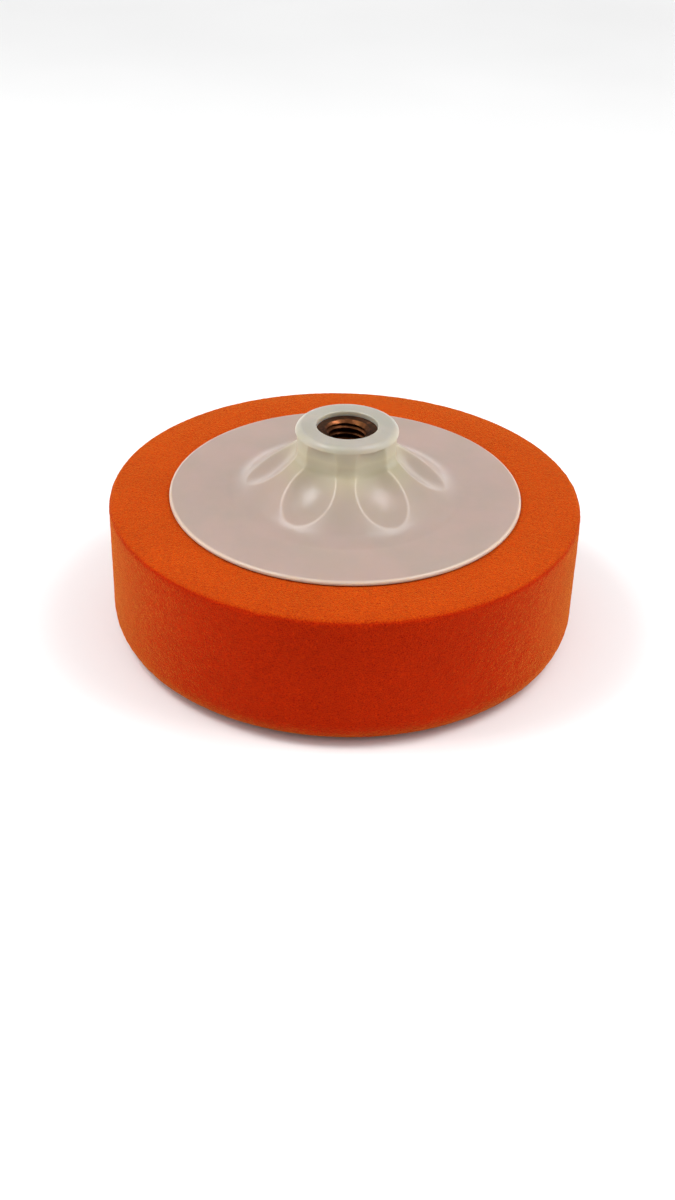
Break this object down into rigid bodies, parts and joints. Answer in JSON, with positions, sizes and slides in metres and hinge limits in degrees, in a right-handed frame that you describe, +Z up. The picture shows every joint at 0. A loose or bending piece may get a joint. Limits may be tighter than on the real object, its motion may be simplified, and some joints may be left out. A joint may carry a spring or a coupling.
{
  "type": "rotary polishing pad",
  "caption": "Round orange foam polishing pad on a moulded white backing plate with a threaded metal insert for a rotary polisher.",
  "frame": {"origin": "centre of the foam's work face, on the surface that the pad rests on", "axes": "+Z up along the spindle axis, from the work face to the threaded hub; the pad is round about it, and the scoops round the hub start on +X"},
  "size_m": [0.15, 0.15, 0.0696],
  "materials": {
    "foam": "fine open-cell polyurethane foam, matte",
    "adhesive": "hot-melt film, translucent",
    "plastic": "milky translucent moulded plastic, semi-gloss",
    "insert": "copper-coloured plating"
  },
  "bodies": {
    "hub": {"backing_plate": "plastic", "threaded_insert": "insert", "adhesive_layer": "adhesive"},
    "foam": {"foam_pad": "foam"}
  },
  "joints": [
    {"name": "foam_compression", "type": "slide", "parent": "hub", "child": "foam", "axis": [0, 0, 1], "range_m": [0, 0.015], "stiffness_N_per_m": 4000, "deforming": ["foam_pad"]}
  ]
}
